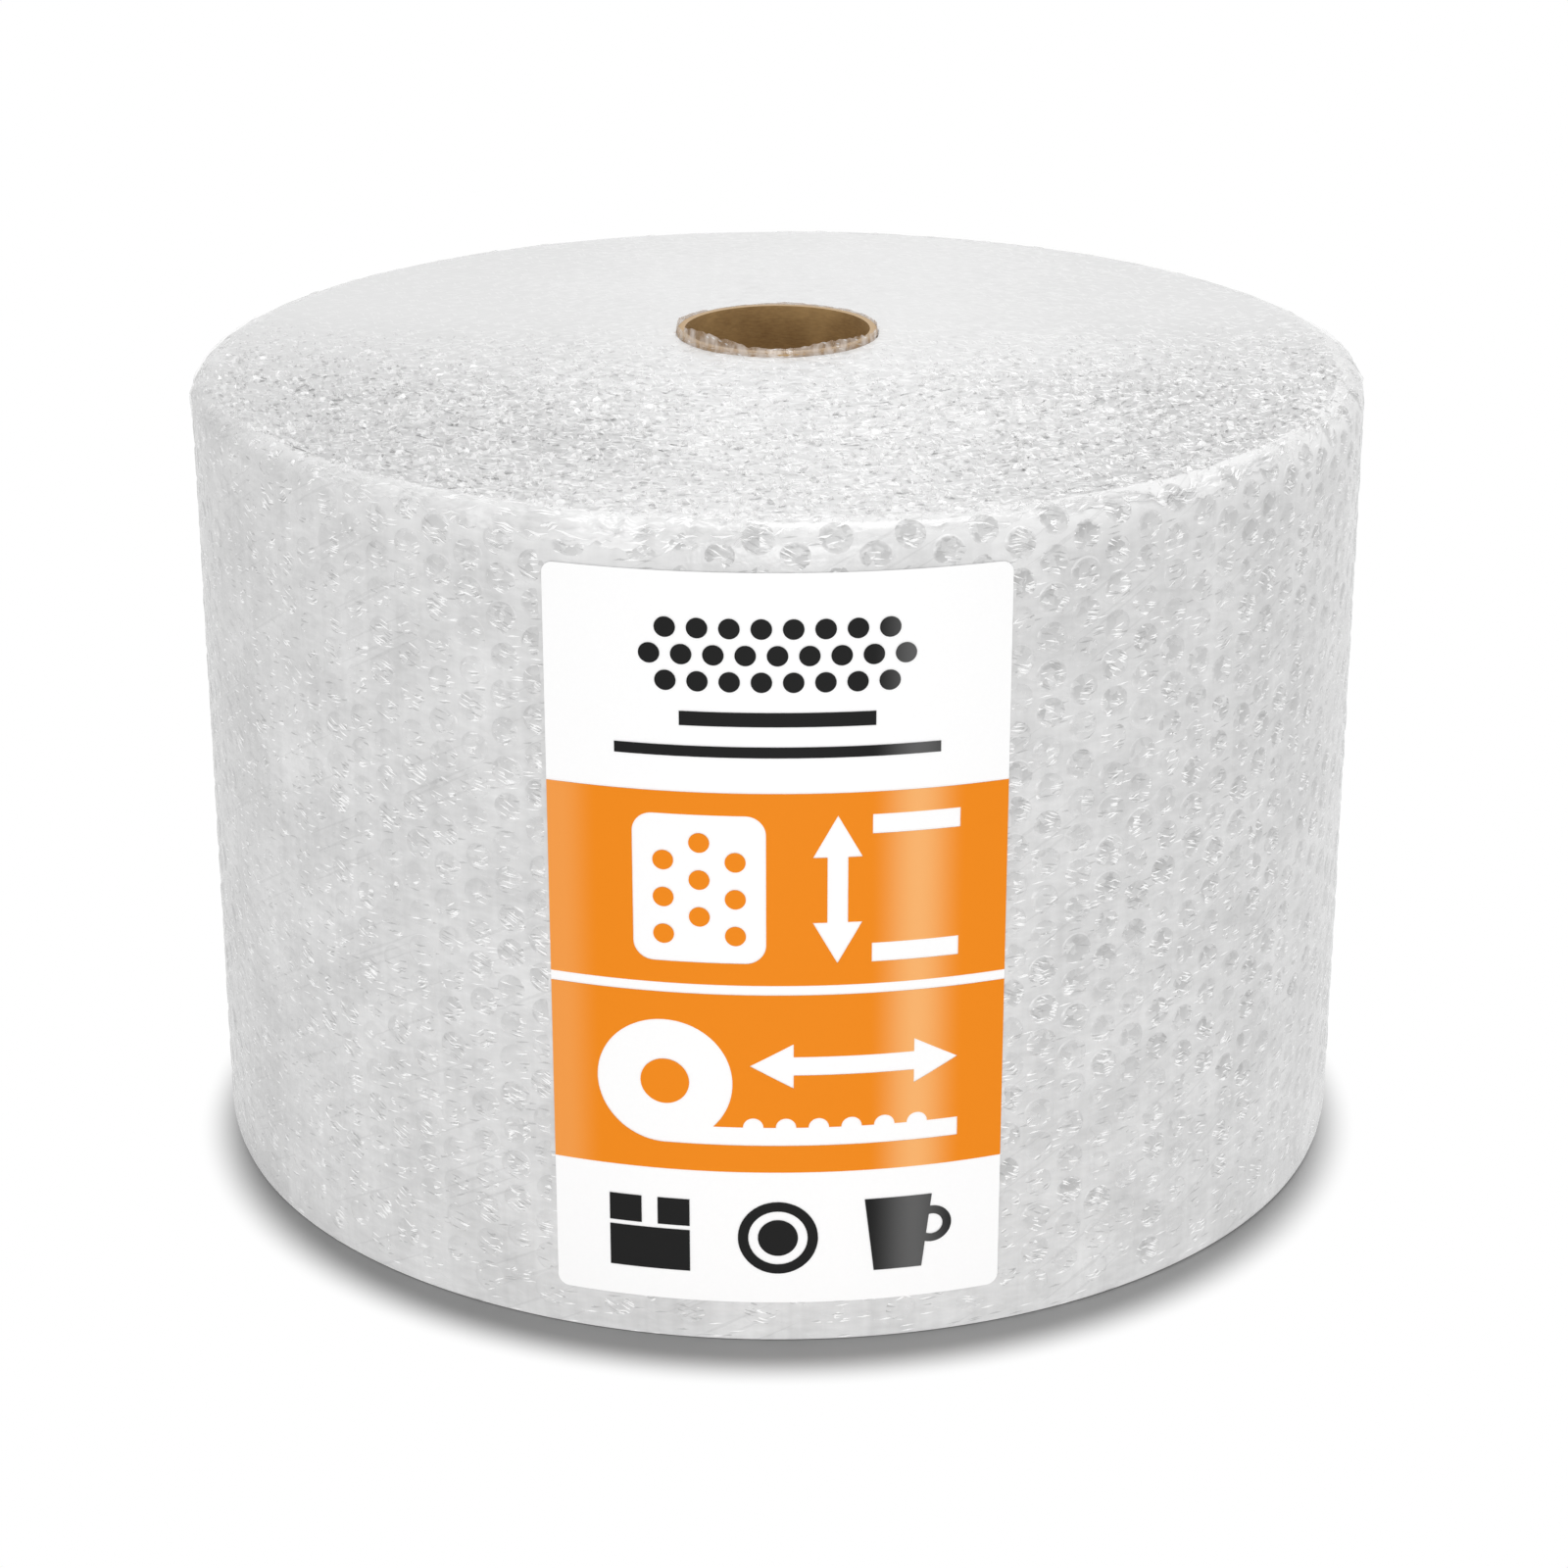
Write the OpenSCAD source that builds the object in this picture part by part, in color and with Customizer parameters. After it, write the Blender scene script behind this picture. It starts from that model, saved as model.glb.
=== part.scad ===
// A roll of bubble wrap that stands on its end: film wound on a cardboard tube, with a paper label.

/* [Film] */
// Width of the film, which is the height of the roll
film_w = 300; // [250:1:600]
// Radius of the full roll at the middle of its last turn
roll_r = 220; // [150:1:300]
// Thickness that one wound turn adds
turn_t = 1.48; // [1:0.01:4]
// Height of the ridge that the edge of each turn makes on the ends of the roll
edge_ridge = 0.7; // [0.2:0.1:1.2]
// How far the first turns have slipped upwards against the last ones
slip = 9; // [0:0.5:15]
// Radius of the rolled over edge at the top
top_round = 9; // [3:0.5:14]
// Radius of the pressed edge at the bottom
bottom_round = 6; // [3:0.5:12]
// Turns that the roll's weight has pressed flat at the bottom
foot_turns = 11; // [4:1:20]

/* [Bubbles] */
// Distance between two columns of bubbles round the roll
column_pitch = 12.57; // [12:0.01:30]
// Distance between two bubbles in a column
row_pitch = 13.5; // [12:0.1:30]
// Diameter of a bubble at its foot
bubble_d = 11; // [6:0.1:11.5]
// Width of the slope round a bubble's flat top
bubble_slope = 1.2; // [0.4:0.1:2.4]
// How far a bubble stands out of the film
bubble_h = 0.6; // [0.3:0.1:1.5]
// Plain film between the outermost bubbles and the edges' rounds
bubble_margin = 1; // [0.5:0.1:12]

/* [Core] */
// Outer radius of the cardboard tube
core_r = 38; // [25:0.5:60]
// Wall of the cardboard tube
core_wall = 3; // [2:0.5:8]
// How far the tube stands out of the first turns
core_proud = 1.5; // [0:0.5:6]
// Width of the worn chamfer on the tube's rims
core_chamfer = 0.6; // [0.2:0.1:1]
// Gap between the tube and the film
core_gap = 0.05; // [0.02:0.01:0.2]

/* [Label] */
// Width of the paper label along its curve
label_w = 158; // [140:1:200]
// Film below the label
label_below = 16.5; // [12:0.5:30]
// Film above the label
label_above = 15.5; // [12:0.5:30]
// Radius of the label's corners
label_corner = 4; // [1:0.5:15]
// Thickness of the label's paper
paper_t = 0.3; // [0.1:0.05:0.6]
// Gap between the tops of the bubbles and the paper
label_gap = 0.05; // [0.02:0.01:0.3]

/* [Print] */
// Thickness of the ink
ink_t = 0.12; // [0.05:0.01:0.3]
// Gap between the paper and the ink
ink_gap = 0.1; // [0.02:0.01:0.3]
// White line between the orange fields
field_gap = 3.6; // [1:0.1:8]
// Orange above and below the upper picture
picture_margin = 8; // [4:0.5:12]
// White field at the label's foot, as a share of the label's height
foot_share = 0.19; // [0.15:0.01:0.22]
// Lower orange field, as a share of the label's height
lower_share = 0.25; // [0.23:0.01:0.27]
// Upper orange field, as a share of the label's height
upper_share = 0.26; // [0.23:0.01:0.27]

/* [Hidden] */
fine = 180;
small = 36;

// The winding
first_r = core_r + core_gap;
shoulder = turn_t / 6;
side_r = roll_r - turn_t / 2 - shoulder;
turns = round((side_r - first_r) / turn_t);
turn_pitch = (side_r - first_r) / turns;
round_turns = ceil(bottom_round / turn_pitch);
foot_last = turns - round_turns;
foot_first = foot_last - foot_turns;

function furrow_r(i) = first_r + i * turn_pitch;
function crest_r(i) = furrow_r(i) + turn_pitch / 2;

// Height by which the turn at radius r has slipped up
function slipped(r) =
    slip * pow(max(0, (furrow_r(foot_first) - r) / (furrow_r(foot_first) - first_r)), 1.6);

// Drop of the rounded edge of radius e at radius r
function dropped(r, e) = e - sqrt(max(0, e * e - pow(max(0, r - side_r + e), 2)));
function top_z(r) = film_w + slipped(r) - dropped(r, top_round);
function bottom_z(r) = slipped(r) + dropped(r, bottom_round);

// The band that carries the bubbles, and the hub inside it
band_bottom = bottom_round;
band_top = film_w - top_round - edge_ridge;
hub_r = core_r + 0.6 * (roll_r - core_r);
hub_bottom = slip + edge_ridge + turn_t;
overlap = 3 * turn_t;
last_angle = 90;

// The bubbles
columns = 2 * round(PI * roll_r / column_pitch);
lowest = band_bottom + bubble_margin + bubble_d / 2;
rows = floor((band_top - bubble_margin - bubble_d / 2 - lowest) / row_pitch) + 1;
bubble_foot = 2 / 3 * bubble_h;

// The label
label_angle = label_w / roll_r * 180 / PI;
label_r = roll_r + turn_t * label_angle / 720 + bubble_h + label_gap;
label_h = film_w - label_below - label_above;
label_chord = 2 * label_r * sin(label_angle / 2);
print_r = label_r + paper_t + ink_gap;
foot_field = foot_share * label_h;
lower_field = lower_share * label_h;
upper_field = upper_share * label_h;
lower_z = foot_field;
upper_z = lower_z + lower_field + field_gap;
head_z = upper_z + upper_field;
head_field = label_h - head_z;
stroke = upper_field / 10;
dot_d = label_chord / 22;

// One end of the roll, turned from its outline
module end_piece(outline) {
    rotate_extrude($fn = fine)
        polygon(outline);
}

// Furrow and crest of turn i, looked at from the bottom
function bottom_ridge(i) = [
    [furrow_r(i), bottom_z(furrow_r(i)) + edge_ridge],
    [crest_r(i), bottom_z(crest_r(i))]];

// Crest and furrow of turn i, looked at from the top
function top_ridge(i) = [
    [crest_r(i), top_z(crest_r(i))],
    [furrow_r(i), top_z(furrow_r(i)) - edge_ridge]];

module bottom_end() {
    end_piece(concat(
        [for (i = [0:foot_first - 1], p = bottom_ridge(i)) p],
        [[furrow_r(foot_first), 0], [furrow_r(foot_last), 0]],
        [for (i = [foot_last + 1:turns - 1], p = bottom_ridge(i)) p],
        [[side_r, band_bottom]],
        [[hub_r - overlap, band_bottom], [hub_r - overlap, hub_bottom], [first_r, hub_bottom]]));
}

module top_end() {
    end_piece(concat(
        [[first_r, band_top], [side_r, band_top]],
        [for (i = [turns - 1:-1:0], p = top_ridge(i)) p]));
}

module hub() {
    translate([0, 0, hub_bottom])
        difference() {
            cylinder(h = band_top - hub_bottom, r = hub_r, $fn = fine);
            translate([0, 0, -1])
                cylinder(h = band_top - hub_bottom + 2, r = first_r, $fn = fine);
        }
}

// Direction of corner k of the last turn, and its radius, which grows by one turn on its way round
function toward(k) = [cos(last_angle + 360 * k / columns), sin(last_angle + 360 * k / columns)];
function last_r(k) = roll_r + turn_t * (k / columns - 0.5);

module bubble() {
    spread = bubble_slope * bubble_foot / bubble_h;
    translate([0, 0, -bubble_foot])
        cylinder(
            h = bubble_foot + bubble_h,
            d1 = bubble_d + 2 * spread,
            d2 = bubble_d - 2 * bubble_slope,
            $fn = 24);
}

// The flat strip of film behind one column of bubbles, with every other column half a step up
module column(k) {
    a = last_r(k) * toward(k);
    b = last_r(k + 1) * toward(k + 1);
    middle = (a + b) / 2;
    facing = atan2(a[0] - b[0], b[1] - a[1]);
    odd = k % 2;
    translate([0, 0, band_bottom])
        linear_extrude(height = band_top - band_bottom)
            polygon([(hub_r - overlap) * toward(k), a, b, (hub_r - overlap) * toward(k + 1)]);
    for (j = [0:rows - 1 - odd])
        translate([middle[0], middle[1], lowest + (j + odd / 2) * row_pitch])
            rotate([0, 90, facing])
                bubble();
}

module wrap() {
    color("gainsboro") {
        bottom_end();
        top_end();
        hub();
        for (k = [0:columns - 1])
            column(k);
    }
}

module core() {
    inner_r = core_r - core_wall;
    color("tan")
        translate([0, 0, slip + core_proud])
            rotate_extrude($fn = fine)
                polygon([
                    [inner_r, 0],
                    [core_r - core_chamfer, 0],
                    [core_r, core_chamfer],
                    [core_r, film_w - core_chamfer],
                    [core_r - core_chamfer, film_w],
                    [inner_r, film_w]]);
}

// What is drawn flat, bent round the roll's front as a sheet of thickness t at radius r
module sheet(r, t) {
    translate([0, 0, label_below])
        intersection() {
            difference() {
                cylinder(h = label_h, r = r + t, $fn = fine);
                translate([0, 0, -1])
                    cylinder(h = label_h + 2, r = r, $fn = fine);
            }
            rotate([90, 0, 0])
                linear_extrude(height = r + t + 1)
                    children();
        }
}

module rounded(w, h, r) {
    square([w - 2 * r, h], center = true);
    square([w, h - 2 * r], center = true);
    for (x = [-1, 1], y = [-1, 1])
        translate([x * (w / 2 - r), y * (h / 2 - r)])
            circle(r = r, $fn = small);
}

module label() {
    color("white")
        sheet(label_r, paper_t)
            translate([0, label_h / 2])
                rounded(label_chord, label_h, label_corner);
}

module arrow(length) {
    head = 2.4 * stroke;
    square([length - 1.6 * head, stroke], center = true);
    for (s = [-1, 1])
        polygon([
            [s * length / 2, 0],
            [s * (length / 2 - 0.9 * head), head / 2],
            [s * (length / 2 - 0.9 * head), -head / 2]]);
}

// A standing roll with its bubbles, and an arrow along its width between two lines
module width_picture() {
    tall = upper_field - 2 * picture_margin;
    wide = 0.29 * label_chord;
    translate([-0.17 * label_chord, 0])
        difference() {
            rounded(wide, tall, stroke);
            for (i = [-1:1], j = [-1:1])
                translate([0.27 * i * wide, (j + (i == 0 ? 0.25 : -0.25)) * tall / 4])
                    circle(d = dot_d, $fn = small);
        }
    translate([0.13 * label_chord, 0])
        rotate(90)
            arrow(tall);
    for (s = [-1, 1])
        translate([0.3 * label_chord, s * (tall - stroke) / 2])
            square([0.19 * label_chord, stroke], center = true);
}

// A roll seen from its end with film paid out, and an arrow along its length
module length_picture() {
    r = 0.15 * label_chord;
    reach = 0.4 * label_chord;
    translate([r - reach, 0]) {
        difference() {
            circle(r = r, $fn = small);
            circle(r = 0.36 * r, $fn = small);
        }
        translate([0, -r])
            square([2 * reach - r, stroke]);
    }
    translate([1.12 * r, 0.3 * r])
        arrow(0.46 * label_chord);
    for (x = [2 * r + dot_d - reach:1.6 * dot_d:reach - dot_d])
        translate([x, stroke - r])
            circle(d = dot_d, $fn = small);
}

module print_sheet() {
    sheet(print_r, ink_t)
        children();
}

module orange_print() {
    color("darkorange") {
        print_sheet()
            translate([-label_chord / 2, lower_z])
                difference() {
                    square([label_chord, lower_field]);
                    translate([label_chord / 2, lower_field / 2])
                        length_picture();
                }
        print_sheet()
            translate([-label_chord / 2, upper_z])
                difference() {
                    square([label_chord, upper_field]);
                    translate([label_chord / 2, upper_field / 2])
                        width_picture();
                }
    }
}

// Staggered dots as on the film, over two plain lines
module head_picture() {
    for (i = [-4:4], j = [-1:1])
        if (j == 0 || i < 4)
            translate([(i + (j == 0 ? 0 : 0.5)) * 1.5 * dot_d, (0.13 + 0.12 * j) * head_field])
                circle(d = dot_d, $fn = small);
    translate([0, -0.16 * head_field])
        square([0.42 * label_chord, 0.065 * head_field], center = true);
    translate([0, -0.31 * head_field])
        square([0.7 * label_chord, 0.05 * head_field], center = true);
}

// A box, a plate and a cup, as things to pack
module foot_picture() {
    size = 0.18 * label_chord;
    line = 0.06 * size;
    translate([-1.6 * size, 0])
        difference() {
            square(size, center = true);
            translate([0, 0.1 * size])
                square([2 * size, line], center = true);
            translate([0, 0.35 * size])
                square([0.2 * size, 0.5 * size], center = true);
        }
    difference() {
        circle(d = size, $fn = small);
        circle(d = 0.74 * size, $fn = small);
    }
    circle(d = 0.5 * size, $fn = small);
    translate([1.5 * size, 0]) {
        polygon([
            [-0.42 * size, size / 2],
            [0.42 * size, size / 2],
            [0.3 * size, -size / 2],
            [-0.3 * size, -size / 2]]);
        translate([0.42 * size, 0.08 * size])
            difference() {
                circle(d = 0.5 * size, $fn = small);
                circle(d = 0.28 * size, $fn = small);
            }
    }
}

module dark_print() {
    color("dimgray") {
        print_sheet()
            translate([0, (head_z + label_h) / 2])
                head_picture();
        print_sheet()
            translate([0, foot_field / 2])
                foot_picture();
    }
}

core();
wrap();
label();
orange_print();
dark_print();
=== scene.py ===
# %% [markdown]
# # A roll of bubble wrap
# The roll is a hundred metres of clear film wound on a cardboard tube. One layer of that film is as
# clear as a bag, but a hundred layers behind each other scatter light like snow, so the roll looks
# pale grey with small bright glints. This lesson builds that look from the outside in: the film of
# the last turn with its bubbles, the cut edges on both ends, the tube and the paper label.

import math

import bpy
import numpy as np
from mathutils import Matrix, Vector


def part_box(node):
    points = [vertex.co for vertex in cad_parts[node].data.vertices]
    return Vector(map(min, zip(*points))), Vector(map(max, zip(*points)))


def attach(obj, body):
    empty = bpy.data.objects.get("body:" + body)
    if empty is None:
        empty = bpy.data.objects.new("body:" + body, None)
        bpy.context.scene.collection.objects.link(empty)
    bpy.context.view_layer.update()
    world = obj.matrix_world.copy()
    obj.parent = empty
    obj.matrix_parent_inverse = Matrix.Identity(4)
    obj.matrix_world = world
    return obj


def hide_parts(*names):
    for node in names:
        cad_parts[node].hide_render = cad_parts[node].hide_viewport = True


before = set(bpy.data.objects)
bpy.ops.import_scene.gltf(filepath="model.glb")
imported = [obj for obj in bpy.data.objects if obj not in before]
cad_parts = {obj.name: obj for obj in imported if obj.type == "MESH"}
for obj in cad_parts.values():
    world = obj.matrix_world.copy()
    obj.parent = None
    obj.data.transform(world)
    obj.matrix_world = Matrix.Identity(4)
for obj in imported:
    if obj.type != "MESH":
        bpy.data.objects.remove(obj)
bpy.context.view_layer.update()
print("nodes", sorted(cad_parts))

# %% [markdown]
# ## Sizes
# Lengths are in millimetres, because that is how film and bubbles are sold, and one factor turns
# them to metres at the end. The places of the tube and the label come from the frame. The rest are
# the film's real sizes: how wide it is, how thick one wound turn is, and how its bubbles are spaced.
# A place on the film is its distance from the free end, and the front is half a turn from there.

# %% Name the sizes of the film
MM = 0.001
FILM_W = 300.0
ROLL_R = 220.0
TURN_T = 1.48
SLIP = 9.0
TOP_ROUND = 9.0
BOTTOM_ROUND = 6.0
FOOT_TURNS = 11
COLUMNS = 110
ROW_PITCH = 13.5
LOWEST_BUBBLE = 12.5
CORE_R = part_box("core")[1].x / MM
CORE_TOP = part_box("core")[1].z / MM
CORE_WALL = 3.0
LABEL_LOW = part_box("label")[0].z / MM
LABEL_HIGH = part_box("label")[1].z / MM
PAPER_T = 0.3
LABEL_R = -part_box("label")[0].y / MM - PAPER_T
LABEL_HALF = math.asin(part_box("label")[1].x / MM / LABEL_R)

FRONT = math.radians(270)
FREE_END = math.radians(90)
FRONT_AT = math.pi * ROLL_R
CORE_GAP = 0.05
FIRST_R = CORE_R + CORE_GAP
SIDE_R = ROLL_R - TURN_T / 2 - TURN_T / 6
TURNS = round((SIDE_R - FIRST_R) / TURN_T)
PITCH = (SIDE_R - FIRST_R) / TURNS
FOOT_FIRST = TURNS - math.ceil(BOTTOM_ROUND / PITCH) - FOOT_TURNS
print("turns", TURNS, "of", round(PITCH, 3), "mm")

# %% [markdown]
# ## The roll's outline as formulas
# Each turn near the tube has slipped up a little more than the one round it, so both ends are
# shallow cones. The rims are rounded: the film is rolled over at the top and pressed in by the
# roll's weight at the bottom. The last turn grows by one film's thickness on its way round.

# %% Write the outline
SLIP_BEND = 1.6


def slipped(radius):
    """Height by which the turn at a radius has slipped up."""
    flat = FIRST_R + FOOT_FIRST * PITCH
    return SLIP * np.clip((flat - radius) / (flat - FIRST_R), 0, None) ** SLIP_BEND


def dropped(radius, edge):
    """Drop of a rounded rim at a radius."""
    return edge - np.sqrt(np.clip(edge ** 2 - np.clip(radius - SIDE_R + edge, 0, edge) ** 2, 0, None))


def top_height(radius):
    return FILM_W + slipped(radius) - dropped(radius, TOP_ROUND)


def bottom_height(radius):
    return slipped(radius) + dropped(radius, BOTTOM_ROUND)


def last_radius(angle):
    """Radius of the last turn at an angle."""
    share = ((angle - FREE_END) / (2 * math.pi)) % 1.0
    return ROLL_R + TURN_T * (share - 0.5)


def last_turn(radius, angle, up, out):
    """Points on the last turn, up along the film and over the top rim, and out of its surface."""
    over = np.clip(up - FILM_W + TOP_ROUND, 0, None) / TOP_ROUND
    reach = radius - TOP_ROUND * (1 - np.cos(over)) + out * np.cos(over)
    height = np.minimum(up, FILM_W - TOP_ROUND) + TOP_ROUND * np.sin(over) + out * np.sin(over)
    return np.stack([reach * np.cos(angle), reach * np.sin(angle), height], -1)


# %% [markdown]
# ## Chance that stays the same
# Film crumples by chance, but a script has to give the same picture each time, so one seeded
# generator gives all the random numbers. Smooth noise along a row of points comes from random
# values at even steps with straight lines between them, which is enough for the edge of a sheet.

# %% Make the noise
chance = np.random.default_rng(11)


def smooth_noise(row, along, step):
    """Noise for the points of each row at their distances along, which changes over about step."""
    table = chance.normal(size=(int(row.max()) + 1, int(along.max() / step) + 3))
    cell = np.floor(along / step).astype(int)
    share = along / step - cell
    return table[row, cell] * (1 - share) + table[row, cell + 1] * share


# %% [markdown]
# ## From numbers to a mesh
# Every piece of film is worked out as arrays of points and faces, which is fast and exact. One
# function turns them into a Blender mesh, shades it smooth, sets it on the frame and gives it its
# finish. It can also store a vector on each point, such as its place on the unrolled film.

# %% Make the mesh functions
def make_piece(name, points, faces, slot, finish, **vectors):
    """A mesh piece from points in millimetres that rides on the roll."""
    mesh = bpy.data.meshes.new(name)
    points = np.asarray(points, np.float32).reshape(-1, 3) * MM
    faces = np.asarray(faces, np.int32)
    corners = faces.shape[1]
    mesh.vertices.add(len(points))
    mesh.vertices.foreach_set("co", points.ravel())
    mesh.loops.add(faces.size)
    mesh.loops.foreach_set("vertex_index", faces.ravel())
    mesh.polygons.add(len(faces))
    mesh.polygons.foreach_set("loop_start", np.arange(0, faces.size, corners, dtype=np.int32))
    mesh.update(calc_edges=True)
    mesh.polygons.foreach_set("use_smooth", np.ones(len(faces), bool))
    for key, values in vectors.items():
        layer = mesh.attributes.new(key, "FLOAT_VECTOR", "POINT")
        layer.data.foreach_set("vector", np.asarray(values, np.float32).ravel())
    mesh.materials.append(finish)
    piece = bpy.data.objects.new(name, mesh)
    bpy.context.scene.collection.objects.link(piece)
    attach(piece, "root")
    print(name, len(faces) * (corners - 2), "triangles")
    return piece


def grid_faces(rows, columns):
    """Quads between rows of points."""
    i, j = np.meshgrid(np.arange(rows - 1), np.arange(columns - 1), indexing="ij")
    first = i * columns + j
    return np.stack([first, first + 1, first + columns + 1, first + columns], -1).reshape(-1, 4)


# %% [markdown]
# ## One function for a node
# A material is a small graph. One function adds a node, sets it up and links its inputs, so that
# each material below reads as a list of steps. Colours are written as the hex values that a picture
# shows, and turned to the linear light that the shader works in.

# %% Make the material functions
def linear(code):
    """The linear colour of an sRGB hex code."""
    parts = [int(code[i:i + 2], 16) / 255 for i in (1, 3, 5)]
    return [c / 12.92 if c < 0.04045 else ((c + 0.055) / 1.055) ** 2.4 for c in parts] + [1.0]


def add(tree, kind, inputs=None, **settings):
    """A new node with its settings, and its inputs set, or linked to a node or a socket."""
    made = tree.nodes.new("ShaderNode" + kind)
    for key, value in settings.items():
        setattr(made, key, value)
    for key, value in (inputs or {}).items():
        if isinstance(key, int):
            socket = made.inputs[key]
        else:
            socket = next(s for s in made.inputs if s.enabled and s.name == key)
        if isinstance(value, bpy.types.Node):
            value = next(s for s in value.outputs if s.enabled)
        if isinstance(value, bpy.types.NodeSocket):
            tree.links.new(value, socket)
        else:
            socket.default_value = value
    return made


def new_material(name):
    """An empty material and its tree."""
    material = bpy.data.materials.new(name)
    material.use_nodes = True
    material.node_tree.nodes.clear()
    return material, material.node_tree


def finish_material(tree, inputs, height=None, strength=0.3, depth=0.5):
    """The shader at the end of a tree, over a relief up to depth in mm if there is one."""
    if height is not None:
        relief = add(tree, "Bump", {"Height": height, "Strength": strength, "Distance": depth * MM})
        inputs = {**inputs, "Normal": relief}
    add(tree, "OutputMaterial", {"Surface": add(tree, "BsdfPrincipled", inputs)})


# %% [markdown]
# ## Folds in the film
# A crumpled film mirrors the lamps in small slivers and lies in shade in its creases. Real folds are
# finer than a mesh can hold over a whole roll, so their glints and shade are painted into the colour.
# The plane is cut into long narrow cells, and in a few of them the points near the cell's middle are
# marked for a painted glint or shade. Distances along two axes make each sliver pointed.

# %% Draw the folds
SLIVER_REACH = 0.36


def folds(tree, place, turn, long, wide, few):
    """A mask of slivers in cells of long by wide mm, where a cell's luck from 0 to 1 is over few."""
    turned = add(tree, "VectorRotate", {"Vector": place, "Angle": turn}, rotation_type="Z_AXIS")
    pulled = add(tree, "VectorMath", {0: turned, 1: (1 / long, 1 / wide, 0.0)}, operation="MULTIPLY")
    cell = add(tree, "TexVoronoi", {"Vector": pulled, "Scale": 1.0},
               voronoi_dimensions="2D", distance="MANHATTAN")
    middle = add(tree, "Math", {0: cell.outputs["Distance"], 1: SLIVER_REACH},
                 operation="LESS_THAN")
    luck = add(tree, "SeparateXYZ", {0: cell.outputs["Color"]})
    kept = add(tree, "Math", {0: luck, 1: few}, operation="GREATER_THAN")
    return add(tree, "Math", {0: middle, 1: kept}, operation="MULTIPLY")


def with_folds(tree, colour, mask, code, share=1.0):
    """The colour with a mask, such as painted glints or painted shade, laid over it in another colour by
    a share.
    """
    laid = add(tree, "Math", {0: mask, 1: share}, operation="MULTIPLY")
    return add(tree, "Mix", {"Factor": laid, "A": colour, "B": linear(code)}, data_type="RGBA")


# %% [markdown]
# ## Polyethylene film, blown and embossed
# Low density polyethylene has an IOR of about 1.51 and, as film, a smooth surface. Behind the last
# turn lie a hundred more, so its colour is a hazy light grey, with faint streaks up the roll from
# its way through the machine. A bubble is a round window in that haze. Through it one sees a little
# deeper into the roll, so it is darker. Its thin dome is creased, and the light it catches is painted
# in as white glints with painted shade beside them. No two are alike: each one carries a seed that
# says how clear it is. They are faint in the lowest rows and on the left side, where the haze is also
# painted darker, as shade. Just under the top rim, right of the front, the film is painted lighter,
# as light on the rim.

# %% Make the finish of the film
FILM_IOR = 1.51
BUBBLE_R = 5.7
HAZE = "#E5E5E5"
HAZE_DARK = "#C9C9C9"
WINDOW_DARK = "#B4B4B4"
WINDOW_LIGHT = "#DADADA"
PAINTED_GLINT = "#FFFFFF"
PAINTED_FOLD_SHADE = "#929292"
PAINTED_RIM_LIGHT = "#F4F4F4"
CREASED = 0.7
LEFT_SIDE_AT = FRONT_AT - 300.0
FADE_REACH = (90.0, 270.0)
RIM_AT = FRONT_AT + 90.0
RIM_REACH = (160.0, 310.0)
WINDOW_IN = 0.75 * BUBBLE_R
WINDOW_OUT = 1.1 * BUBBLE_R
UNEVEN = 5.0


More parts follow.
